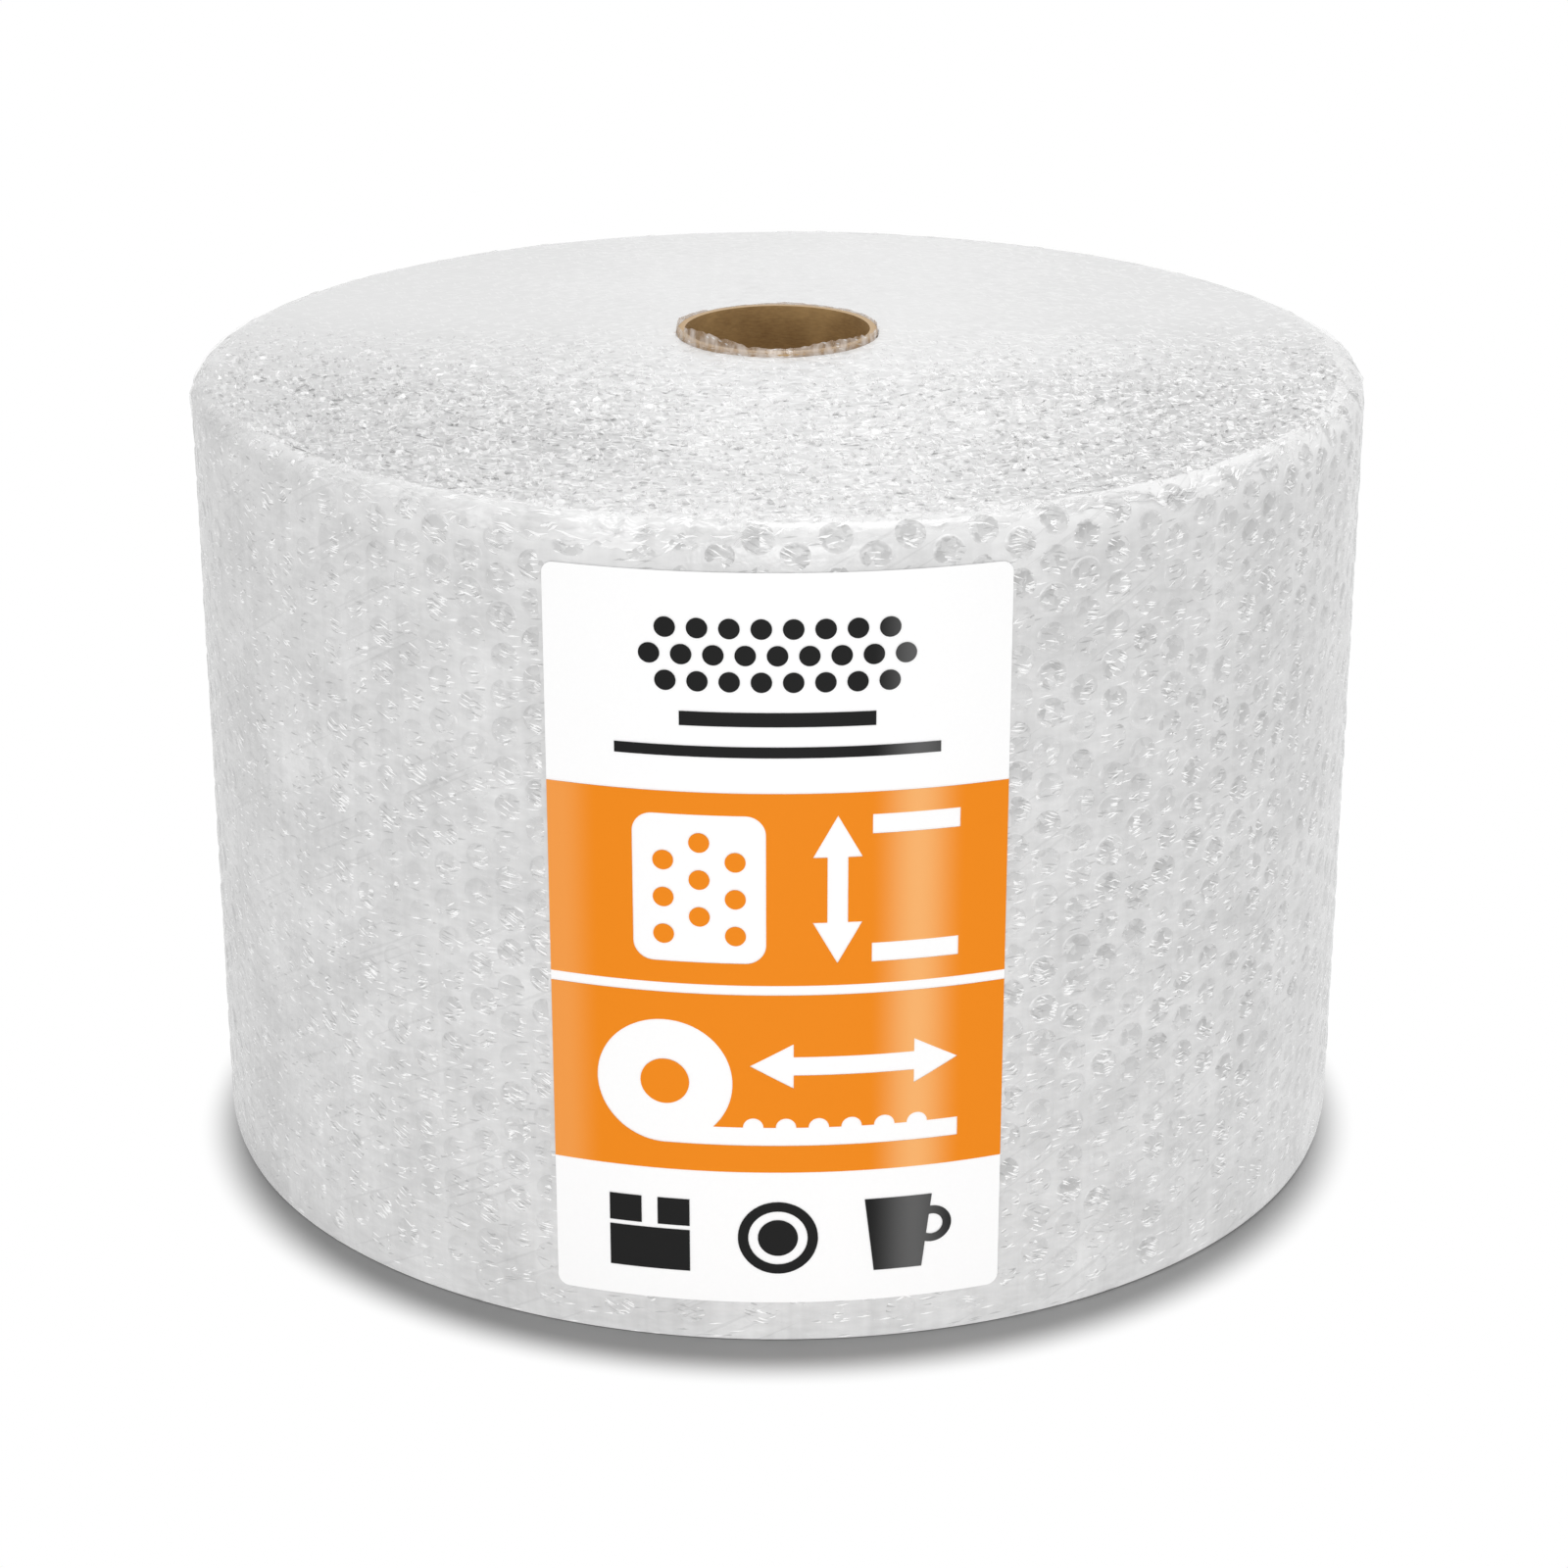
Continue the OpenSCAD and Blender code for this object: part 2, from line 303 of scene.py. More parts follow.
def film_material():
    material, tree = new_material("polyethylene_film")
    place = add(tree, "Attribute", attribute_name="on_film").outputs["Vector"]
    spot = add(tree, "Attribute", attribute_name="on_bubble").outputs["Vector"]

    # The haze: clouds of 30 mm, streaks of 3 by 70 mm up the roll, and smudges of 8 by 3 mm round it
    cloud = add(tree, "TexNoise", {"Vector": place, "Scale": 1 / 30, "Detail": 3.0})
    drawn = add(tree, "VectorMath", {0: place, 1: (0.3, 0.015, 1.0)}, operation="MULTIPLY")
    streak = add(tree, "TexNoise", {"Vector": drawn, "Scale": 1.0, "Detail": 3.0})
    wiped = add(tree, "VectorMath", {0: place, 1: (0.12, 0.35, 1.0)}, operation="MULTIPLY")
    smudge = add(tree, "TexNoise", {"Vector": wiped, "Scale": 1.0, "Detail": 1.5})
    both = add(tree, "Math", {0: streak, 1: 0.4, 2: cloud}, operation="MULTIPLY_ADD")
    all_three = add(tree, "Math", {0: smudge, 1: 0.5, 2: both}, operation="MULTIPLY_ADD")
    along, up = add(tree, "SeparateXYZ", {0: place}).outputs[:2]
    aside = add(tree, "Math", {0: along, 1: LEFT_SIDE_AT}, operation="SUBTRACT")
    away = add(tree, "Math", {0: aside}, operation="ABSOLUTE")
    # Painted shade: the haze is darker towards the left side
    left_shade = add(tree, "MapRange", {
        "Value": away, "From Min": 0.0, "From Max": FADE_REACH[0], "To Min": 0.5, "To Max": 0.0})
    shaded_haze = add(tree, "Math", {0: all_three, 1: left_shade}, operation="SUBTRACT")
    amount = add(tree, "MapRange", {"Value": shaded_haze, "From Min": 0.65, "From Max": 1.25})
    haze = add(tree, "Mix", {
        "Factor": amount, "A": linear(HAZE_DARK), "B": linear(HAZE)}, data_type="RGBA")

    # Painted light on the film under the top rim, within a reach of a place right of the front
    high = add(tree, "MapRange", {
        "Value": up, "From Min": FILM_W - 2 * TOP_ROUND, "From Max": FILM_W, "To Max": 0.7})
    rim_side = add(tree, "Math", {0: along, 1: RIM_AT}, operation="SUBTRACT")
    rim_away = add(tree, "Math", {0: rim_side}, operation="ABSOLUTE")
    rim_light_falloff = add(tree, "MapRange", {
        "Value": rim_away, "From Min": RIM_REACH[0], "From Max": RIM_REACH[1],
        "To Min": 1.0, "To Max": 0.0})
    rim_light_share = add(tree, "Math", {0: high, 1: rim_light_falloff}, operation="MULTIPLY")
    haze = add(tree, "Mix", {"Factor": rim_light_share, "A": haze, "B": linear(PAINTED_RIM_LIGHT)}, data_type="RGBA")

    # The window of a bubble, with an uneven rim. Noise is about 0.5, so half of UNEVEN comes on top.
    # Rows near the top are clearer, and rows near the foot and on the left side are fainter
    uneven = add(tree, "TexNoise", {"Vector": place, "Scale": 0.35, "Detail": 3.0})
    parts = add(tree, "SeparateXYZ", {0: spot})
    flat = add(tree, "CombineXYZ", {0: parts.outputs[0], 1: parts.outputs[1]})
    out = add(tree, "VectorMath", {0: flat}, operation="LENGTH").outputs["Value"]
    edge = add(tree, "Math", {0: uneven, 1: UNEVEN, 2: out}, operation="MULTIPLY_ADD")
    window = add(tree, "MapRange", {
        "Value": edge, "From Min": WINDOW_IN + UNEVEN / 2, "From Max": WINDOW_OUT + UNEVEN / 2,
        "To Min": 1.0, "To Max": 0.0})
    luck = add(tree, "TexWhiteNoise", {"W": parts.outputs[2]}, noise_dimensions="1D")
    patch = add(tree, "TexNoise", {"Vector": place, "Scale": 1 / 45, "Detail": 1.0})
    chances = add(tree, "Math", {0: patch, 1: 1.4, 2: luck.outputs["Value"]}, operation="MULTIPLY_ADD")
    rising = add(tree, "MapRange", {
        "Value": up, "From Min": FILM_W - 40, "From Max": FILM_W - 8, "To Max": 0.6})
    chances = add(tree, "Math", {0: chances, 1: rising}, operation="ADD")
    near_foot = add(tree, "MapRange", {"Value": up, "From Min": 70.0, "From Max": 15.0, "To Max": 0.6})
    chances = add(tree, "Math", {0: chances, 1: near_foot}, operation="SUBTRACT")
    clear = add(tree, "MapRange", {
        "Value": chances, "From Min": 0.7, "From Max": 1.5, "To Min": 0.15, "To Max": 1.0})
    faint = add(tree, "MapRange", {
        "Value": away, "From Min": FADE_REACH[0], "From Max": FADE_REACH[1],
        "To Min": 0.15, "To Max": 1.0})
    clear = add(tree, "Math", {0: clear, 1: faint}, operation="MULTIPLY")
    seen = add(tree, "Math", {0: window, 1: clear}, operation="MULTIPLY")

    # What shows in it: the facets of the crumpled dome, 3 mm wide, and painted shade that makes it darker
    # towards its upper left
    shaken = add(tree, "VectorMath", {0: uneven.outputs["Color"], 1: (4.0, 4.0, 0.0), 2: place},
                 operation="MULTIPLY_ADD")
    facet = add(tree, "TexVoronoi", {"Vector": shaken, "Scale": 0.33})
    tone = add(tree, "SeparateXYZ", {0: facet.outputs["Color"]})
    lean = add(tree, "VectorMath", {0: flat, 1: (0.4 / BUBBLE_R, -0.8 / BUBBLE_R, 0.0)},
               operation="DOT_PRODUCT").outputs["Value"]
    lit = add(tree, "Math", {0: lean, 1: 0.5, 2: tone}, operation="MULTIPLY_ADD")
    level = add(tree, "MapRange", {"Value": lit, "From Min": -0.2, "From Max": 0.9})
    inside = add(tree, "Mix", {
        "Factor": level, "A": linear(WINDOW_DARK), "B": linear(WINDOW_LIGHT)}, data_type="RGBA")
    body = add(tree, "Mix", {"Factor": seen, "A": haze, "B": inside}, data_type="RGBA")

    # A painted light arc over the upper part of the dome, where its rim faces the lamp overhead
    ring = add(tree, "Math", {0: out, 1: 1.03 * BUBBLE_R, 2: 0.4}, operation="COMPARE")
    upper = add(tree, "MapRange", {
        "Value": parts.outputs[1], "From Min": 0.1 * BUBBLE_R, "From Max": 0.8 * BUBBLE_R})
    arc = add(tree, "Math", {0: ring, 1: upper}, operation="MULTIPLY")
    painted_arc = add(tree, "Math", {0: arc, 1: clear}, operation="MULTIPLY")
    body = with_folds(tree, body, painted_arc, PAINTED_RIM_LIGHT, 0.5)

    # The folds, as painted glints and painted shade. Most lie level, as the film is wound under tension.
    # They crowd in the windows, most of all in some creased domes, and a little less in faint windows
    creased = add(tree, "Math", {0: luck.outputs["Value"], 1: CREASED}, operation="GREATER_THAN")
    lower = add(tree, "MapRange", {"Value": lit, "From Min": 0.3, "From Max": 1.0, "To Max": 0.38})
    crowd = add(tree, "Math", {0: creased, 1: 0.15, 2: lower}, operation="MULTIPLY_ADD")
    dense = add(tree, "MapRange", {
        "Value": clear, "From Min": 0.0, "From Max": 0.5, "To Min": 0.75, "To Max": 1.0})
    inward = add(tree, "Math", {0: crowd, 1: window}, operation="MULTIPLY")
    inward = add(tree, "Math", {0: inward, 1: dense}, operation="MULTIPLY")
    few = add(tree, "Math", {0: 0.96, 1: inward}, operation="SUBTRACT")
    level_turn = add(tree, "Math", {0: luck.outputs["Value"], 1: 0.7, 2: -0.15}, operation="MULTIPLY_ADD")
    crossed = add(tree, "Math", {0: level_turn, 1: -0.55}, operation="ADD")
    fewer = add(tree, "Math", {0: few, 1: 0.1}, operation="ADD")
    bent = add(tree, "VectorMath", {0: uneven.outputs["Color"], 1: (0.7, 0.7, 0.0), 2: place},
               operation="MULTIPLY_ADD")
    colour = with_folds(tree, body, folds(tree, bent, -0.5, 60.0, 1.6, 0.86), PAINTED_FOLD_SHADE, 0.13)
    colour = with_folds(tree, colour, folds(tree, bent, level_turn, 8.0, 1.0, few), PAINTED_FOLD_SHADE, 0.5)
    colour = with_folds(tree, colour, folds(tree, bent, crossed, 6.0, 1.0, fewer), PAINTED_FOLD_SHADE, 0.5)
    colour = with_folds(tree, colour, folds(tree, bent, level_turn, 7.5, 0.85, few), PAINTED_GLINT)
    colour = with_folds(tree, colour, folds(tree, bent, crossed, 6.0, 0.85, fewer), PAINTED_GLINT)
    finish_material(tree, {
        "Base Color": colour, "Roughness": 0.22, "IOR": FILM_IOR}, uneven, 0.5)
    return material


film_finish = film_material()

# %% [markdown]
# ## The film of the last turn
# The last turn is a sheet bent round the roll. It ends at the back, where its free end lies on the
# turn below and makes a step as thick as one turn. So the sheet is a grid whose radius grows on its
# way round, and the step is the last strip of the grid. At the top it is rolled over the rim, and
# at the bottom its margin is tucked in a little where it stands on the floor. The label was stuck
# on the domes, so behind it the sheet is drawn out to just under the paper.

# %% Build the outer film
FILM_STEPS = 880
FILM_ROWS = 64
RIM_ROWS = 14
RIM_TURN = 2.2
FOOT_GAP = 0.4
FOOT_TUCK = 1.4
WRINKLE_LONG = 9.0
WRINKLE_H = 0.13
STEP_IN = 0.3
BEHIND_PAPER = 0.15
PAPER_MARGIN = 2.5
NO_BUBBLE = 99.0


def build_film():
    up = np.concatenate([
        [FOOT_GAP, FOOT_GAP + 1.0, FOOT_GAP + 2.5],
        np.linspace(BOTTOM_ROUND, FILM_W - TOP_ROUND, FILM_ROWS, endpoint=False),
        FILM_W - TOP_ROUND + TOP_ROUND * np.linspace(0, RIM_TURN, RIM_ROWS)])
    share = np.arange(FILM_STEPS + 1) / FILM_STEPS
    row, share = np.meshgrid(np.arange(len(up)), share, indexing="ij")
    angle = FREE_END + 2 * math.pi * share
    arc = ROLL_R * 2 * math.pi * share
    wrinkle = smooth_noise(row, arc, WRINKLE_LONG)
    wrinkle = (wrinkle + np.roll(wrinkle, 1, 0) + np.roll(wrinkle, 2, 0)) / 3
    wrinkle *= np.where(row == 0, 0.0, WRINKLE_H)
    tucked = np.interp(up, (FOOT_GAP, 4.0), (FOOT_TUCK, 0.0))[:, None]
    radius = ROLL_R + TURN_T * (share - 0.5) - tucked
    height = up[:, None]
    under_label = np.abs(angle - FRONT) < LABEL_HALF + 0.005
    under_label &= (height > LABEL_LOW - PAPER_MARGIN) & (height < LABEL_HIGH + PAPER_MARGIN)
    wrinkle = np.where(under_label, LABEL_R - BEHIND_PAPER - radius, wrinkle)
    points = last_turn(radius, angle, up[:, None], wrinkle)
    step = last_turn(radius[:, :1] - STEP_IN, angle[:, :1], up[:, None], 0)
    points = np.concatenate([points, step], 1)
    arc = np.concatenate([arc, arc[:, -1:] + TURN_T], 1)
    on_film = np.stack([arc, np.broadcast_to(up[:, None], arc.shape), 0 * arc], -1)
    no_bubble = np.full(on_film.shape, NO_BUBBLE)
    return make_piece(
        "outer_film", points, grid_faces(*arc.shape), "wrap", film_finish,
        on_film=on_film, on_bubble=no_bubble)


outer_film = build_film()
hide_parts("wrap")

# %% [markdown]
# ## The bubbles
# The embossing drum sucks the warm film into round cups, half a step apart in neighbouring columns.
# Each bubble is a low dome: rings of points round a middle one, pushed in by a few folds that cross
# it at random. The domes are flatter in two places, where the film lies tight and where the roll was
# pressed, and they stay under the label. All domes of a piece are worked out at once as one array
# and then bent onto the roll.

# %% Build the bubbles
RING_POINTS = 16
RING_REACH = np.array([0.25, 0.5, 0.72, 0.88, 0.99, 1.1])
RING_HEIGHT = np.array([1.0, 0.98, 0.92, 0.7, 0.2, -0.35])
DOME_H = 0.75
FLAT_SHARE = 0.4
FOLDS_IN_DOME = 5
FOLD_WIDE = 1.1
OFF_PLACE = 0.35
PRESSED_AT = FRONT_AT + 360.0


def dome_faces(count):
    """Triangles of count domes: a fan round each middle, and two for each step of a ring."""
    ring = np.arange(RING_POINTS) + 1
    after = ring % RING_POINTS + 1
    parts = [np.stack([0 * ring, ring, after], -1)]
    for k in range(len(RING_REACH) - 1):
        a, b = ring + k * RING_POINTS, after + k * RING_POINTS
        parts.append(np.stack([a, a + RING_POINTS, b + RING_POINTS], -1))
        parts.append(np.stack([a, b + RING_POINTS, b], -1))
    dome = np.concatenate(parts)
    points = 1 + len(RING_REACH) * RING_POINTS
    return (dome + np.arange(count)[:, None, None] * points).reshape(-1, 3)


def build_bubbles(name, odd):
    """The bubbles of every other column, from column 0 or from column 1, half a step higher."""
    rows = int((FILM_W - LOWEST_BUBBLE) / ROW_PITCH - odd / 2) + 1
    column, row = np.meshgrid(np.arange(odd, COLUMNS, 2), np.arange(rows), indexing="ij")
    column, row = column.reshape(-1, 1), row.reshape(-1, 1)
    count = len(column)
    centre = FREE_END + 2 * math.pi * (column + 0.5) / COLUMNS
    ring = 2 * math.pi * np.arange(RING_POINTS) / RING_POINTS
    x = np.append(0, BUBBLE_R * np.outer(RING_REACH, np.cos(ring)))
    y = np.append(0, BUBBLE_R * np.outer(RING_REACH, np.sin(ring)))
    height = np.append(1.0, np.repeat(RING_HEIGHT, RING_POINTS))
    place = ROLL_R * (centre - FREE_END)
    aside = np.minimum(np.abs(place - LEFT_SIDE_AT), np.abs(place - PRESSED_AT))
    full = np.interp(aside, FADE_REACH, (FLAT_SHARE, 1.0))
    out = DOME_H * np.where(height > 0, full * height, height) * chance.uniform(0.7, 1.1, (count, 1))
    for _ in range(FOLDS_IN_DOME):
        way = chance.uniform(0, 2 * math.pi, (count, 1))
        off = chance.uniform(-0.8, 0.8, (count, 1)) * BUBBLE_R
        deep = chance.uniform(-0.4, 0.2, (count, 1)) * np.clip(height, 0, 1)
        out = out + deep * np.exp(-np.abs(x * np.cos(way) + y * np.sin(way) - off) / FOLD_WIDE)
    size = chance.uniform(0.9, 1.06, (count, 1))
    x, y = x * size, y * size
    angle = centre + (x + chance.normal(0, OFF_PLACE, (count, 1))) / ROLL_R
    up = LOWEST_BUBBLE + (row + odd / 2) * ROW_PITCH + y + chance.normal(0, OFF_PLACE, (count, 1))
    radius = last_radius(centre)
    under_label = np.abs(angle - FRONT) < LABEL_HALF + 0.01
    under_label &= (up > LABEL_LOW - 1) & (up < LABEL_HIGH + 1)
    out = np.where(under_label, np.minimum(out, LABEL_R - 0.1 - radius), out)
    on_film = np.stack([ROLL_R * (angle - FREE_END), up, 0 * up], -1)
    seed = (column * 37 + row * 11) % 997 + 0.5
    on_bubble = np.stack([x + 0 * up, y + 0 * up, seed + 0 * up], -1)
    make_piece(
        name, last_turn(radius, angle, up, out), dome_faces(count), "wrap", film_finish,
        on_film=on_film, on_bubble=on_bubble)


build_bubbles("bubbles_even", 0)
build_bubbles("bubbles_odd", 1)

# %% [markdown]
# ## The cut edges
# On both ends the film shows its cut edges. There the light leaks out of all the layers, so they
# are brighter than the side, with white and grey flecks as fine as the folds of the film: painted
# glints and painted shade. To the left and to the right they are painted greyer, as shade, and to
# the left the glints are fainter. Towards the back they lie calmer, as the winder leaves them where
# its arm pressed the edge. The reaches below are in mm from the roll's axis.

# %% Make the finish of the ends
EDGE_LIGHT = "#EEEEEE"
EDGE_MID = "#E4E4E4"
EDGE_DARK = "#C9C9C9"
EDGE_CALM = "#D9D9D9"
CALM_REACH = (-105.0, 10.0)
CALM_TURN = 0.35
LEFT_SHADE_REACH = (-20.0, -180.0)
RIGHT_SHADE_REACH = (50.0, 170.0)
FLECK_TURNS = (0.0, 0.5, 1.3, 2.4)


def edge_material():
    material, tree = new_material("film_edges")
    place = add(tree, "Attribute", attribute_name="on_film").outputs["Vector"]
    side, back = add(tree, "SeparateXYZ", {0: place}).outputs[:2]
    fine = add(tree, "TexNoise", {"Vector": place, "Scale": 0.3, "Detail": 3.0})
    wide = add(tree, "TexNoise", {"Vector": place, "Scale": 0.012, "Detail": 3.0})
    both = add(tree, "Math", {0: wide, 1: 0.6, 2: fine}, operation="MULTIPLY_ADD")
    # Painted shade: greyer to the left and to the right of the middle
    loose = add(tree, "MapRange", {
        "Value": side, "From Min": LEFT_SHADE_REACH[0], "From Max": LEFT_SHADE_REACH[1], "To Max": 0.7})
    right_shade = add(tree, "MapRange", {
        "Value": side, "From Min": RIGHT_SHADE_REACH[0], "From Max": RIGHT_SHADE_REACH[1], "To Max": 0.45})
    side_shade = add(tree, "Math", {0: loose, 1: right_shade}, operation="ADD")
    shaded_noise = add(tree, "Math", {0: both, 1: side_shade}, operation="SUBTRACT")
    level = add(tree, "MapRange", {"Value": shaded_noise, "From Min": 0.42, "From Max": 1.12})
    ramp = add(tree, "ValToRGB", {"Fac": level})
    ramp.color_ramp.elements[0].color = linear(EDGE_DARK)
    ramp.color_ramp.elements[1].color = linear(EDGE_LIGHT)
    ramp.color_ramp.elements.new(0.45).color = linear(EDGE_MID)
    bent = add(tree, "VectorMath", {0: fine.outputs["Color"], 1: (0.8, 0.8, 0.0), 2: place},
               operation="MULTIPLY_ADD")
    colour = ramp
    # The flecks: painted glints, fainter to the left, and a few of painted shade
    bright = add(tree, "MapRange", {
        "Value": side, "From Min": LEFT_SHADE_REACH[0], "From Max": LEFT_SHADE_REACH[1],
        "To Min": 1.0, "To Max": 0.4})
    for turn in FLECK_TURNS:
        colour = with_folds(tree, colour, folds(tree, bent, turn, 8.0, 1.3, 0.84), PAINTED_GLINT, bright)
    colour = with_folds(tree, colour, folds(tree, bent, 0.8, 5.0, 0.9, 0.9), PAINTED_FOLD_SHADE, 0.25)
    width = add(tree, "Math", {0: side}, operation="ABSOLUTE")
    behind = add(tree, "Math", {0: width, 1: -CALM_TURN, 2: back}, operation="MULTIPLY_ADD")
    calm = add(tree, "MapRange", {
        "Value": behind, "From Min": CALM_REACH[0], "From Max": CALM_REACH[1], "To Max": 0.75})
    colour = add(tree, "Mix", {"Factor": calm, "A": colour, "B": linear(EDGE_CALM)}, data_type="RGBA")
    finish_material(tree, {
        "Base Color": colour, "Roughness": 0.3, "IOR": FILM_IOR}, fine, 0.08)
    return material


edge_finish = edge_material()

# %% [markdown]
# ## The ends of the roll
# Seen from the end, the film is one long spiral. Each turn has a crest and a furrow, and the
# spiral's radius grows with the angle, so that a row of points runs on into the next turn. The
# crests wave up and down as the bubbles inside push the edge about.

# %% Build the wound ends
LEAST_UNREST = 0.25
LIFT_LONG = 3.2
SWAY_LONG = 4.1
SWAY = 0.35
FURROW = 0.2


def unrest(radius, angle):
    """How lively an end is at a place: most at the front, least at the back."""
    behind = radius * (np.sin(angle) - CALM_TURN * np.abs(np.cos(angle)))
    return np.interp(behind, CALM_REACH, (1.0, LEAST_UNREST))


def build_end(name, top, steps, wave):
    """The top or the bottom end, with steps points a turn and crests that wave by about wave mm."""
    row, column = np.meshgrid(np.arange(2 * TURNS + 1), np.arange(steps + 1), indexing="ij")
    angle = FREE_END + 2 * math.pi * column / steps
    radius = np.clip(FIRST_R + PITCH * (row / 2 - 0.5 + column / steps), FIRST_R, SIDE_R + 0.2)
    arc = radius * (angle - FREE_END)
    lift = smooth_noise(row, arc, LIFT_LONG)
    lift = (lift + np.roll(lift, 1, 0) + np.roll(lift, 2, 0)) / 1.7 * wave * unrest(radius, angle)
    lift = np.where(row % 2 == 1, lift, 0.5 * lift - FURROW * unrest(radius, angle))
    sway = smooth_noise(row, arc, SWAY_LONG) * SWAY * unrest(radius, angle)
    reach = np.clip(radius + sway, FIRST_R, SIDE_R + 0.3)
    if top:
        height = top_height(radius) + lift
    else:
        height = np.maximum(bottom_height(radius) - lift, 0.0)
    points = np.stack([reach * np.cos(angle), reach * np.sin(angle), height], -1)
    faces = grid_faces(*row.shape)
    if top:
        faces = faces[:, ::-1]
    make_piece(name, points, faces, "wrap", edge_finish, on_film=points)


build_end("top_edges", True, 380, 0.16)
build_end("bottom_edges", False, 200, 0.3)

# %% [markdown]
# ## Flakes of film
# The knife leaves the edges frayed: everywhere a bit of film or the half of a cut bubble stands up
# and glints. Each flake is a short strip of quads, bent along its length and leaning over. Most lie
# in line with the turns. The same strips, in other colours, make the torn rim of the tube.

# %% Scatter strips
STRIP_PAIRS = 4
STRIP_ROOT = 0.3
TOP_FLAKES = 15000
BOTTOM_FLAKES = 3500
# Near white: the flakes' own colour, and partly painted light for what their thin film lets through
FLAKE_TONES = ("#F0F0F0", "#FAFAFA", "#FFFFFF", "#FFFFFF", "#FFFFFF")


def build_strips(name, slot, finish, radius, height, sign, turn=1.1, long=(0.9, 3.4), tall=(0.6, 2.6)):
    """Strips at some radii, on a surface of that height, and off the winding's line by some turn."""
    count = len(radius)
    angle = chance.uniform(0, 2 * math.pi, (count, 1))
    radius = radius.reshape(-1, 1)
    length = chance.uniform(*long, (count, 1))
    along = np.linspace(-0.5, 0.5, STRIP_PAIRS) * length
    heading = angle + math.pi / 2 + chance.normal(0, turn, (count, 1))
    heading = heading + chance.normal(0, 0.12, (count, 1)) * along
    x = radius * np.cos(angle) + along * np.cos(heading)
    y = radius * np.sin(angle) + along * np.sin(heading)
    reach = np.clip(np.hypot(x, y), FIRST_R + 0.2, SIDE_R - 0.2)
    foot = np.stack([x, y, height(reach) - sign * STRIP_ROOT], -1)
    rise = chance.uniform(*tall, (count, 1)) * unrest(radius, angle) ** 2
    rise = rise * (1 - (2 * along / length) ** 2 * chance.uniform(0.2, 1.0, (count, 1)))
    lean = chance.normal(0, 0.7, (count, 1))
    across = rise * np.sin(lean)
    tip = foot + np.stack([
        -across * np.sin(heading), across * np.cos(heading), sign * rise * np.abs(np.cos(lean))], -1)
    tip[..., 2] = np.maximum(tip[..., 2], 0)
    points = np.stack([foot, tip], 2)
    tone = np.broadcast_to(chance.uniform(0, 1, (count, 1, 1)), points.shape[:3])
    k = 2 * np.arange(STRIP_PAIRS - 1)
    strip = np.stack([k, k + 2, k + 3, k + 1], -1)
    faces = (strip + np.arange(count)[:, None, None] * 2 * STRIP_PAIRS).reshape(-1, 4)
    make_piece(name, points, faces, slot, finish, tone=np.stack([tone, tone, tone], -1))


def strip_material(name, codes, roughness, ior, cover):
    """A finish with a colour from a range, as each strip's tone says, and a share that it covers."""
    material, tree = new_material(name)
    ramp = add(tree, "ValToRGB", {"Fac": add(tree, "Attribute", attribute_name="tone").outputs["Fac"]})
    ramp.color_ramp.elements[0].color = linear(codes[0])
    ramp.color_ramp.elements[1].color = linear(codes[-1])
    for k, code in enumerate(codes[1:-1], 1):
        ramp.color_ramp.elements.new(k / (len(codes) - 1)).color = linear(code)
    finish_material(tree, {"Base Color": ramp, "Roughness": roughness, "IOR": ior, "Alpha": cover})
    return material


def even_radii(count):
    """Radii that spread strips evenly over an end."""
    return np.sqrt(chance.uniform((FIRST_R + 1) ** 2, (SIDE_R - 1.5) ** 2, count))


flake_finish = strip_material("film_flake", FLAKE_TONES, 0.15, FILM_IOR, 0.75)
build_strips("top_flakes", "wrap", flake_finish, even_radii(TOP_FLAKES), top_height, 1)
build_strips("bottom_flakes", "wrap", flake_finish, even_radii(BOTTOM_FLAKES), bottom_height, -1)

# %% [markdown]
# ## The curled rim
# Outside the bubbles the film has a plain margin. On the last turn it has curled over the top rim,
# far down in some places and hardly at all in others, and lies there as a shiny crumpled band that
# is torn at both edges. It is thin, so it lets some light through, and its folds run along the rim.
# Its crumples and folds are painted from grey shade to white highlight. Where it has curled far down
# it lies in several layers, which hide more and are painted whiter, partly for their own whiteness
# and partly as a painted highlight. Away from the front it lies flatter and shows less. Each point
# carries both as its look.

# %% Build the curled rim
RIM_STEPS = 1300
RIM_BAND_ROWS = 16
RIM_COVER = 0.2
RIM_FAR_SHARE = 0.3
PAINTED_RIM_SHADE = "#E6E6E6"

# The middle and the reach of each curl in degrees, how far down it comes and how far its upper edge
# has drawn back, both in mm
RIM_CURLS = (
    (-122, 9, 3.0, 0.0),
    (-104, 9, 9.0, 0.0),
    (-50, 14, 1.5, 3.5),
    (12, 14, 6.0, 0.0),
    (72, 10, 5.0, 0.0),
    (128, 16, 7.0, 0.0),
    (196, 12, 6.0, 0.0))


def degrees_off(angle, middle):
    """Degrees from a middle to an angle in radians, the short way round."""
    return (np.degrees(angle) - middle + 180) % 360 - 180


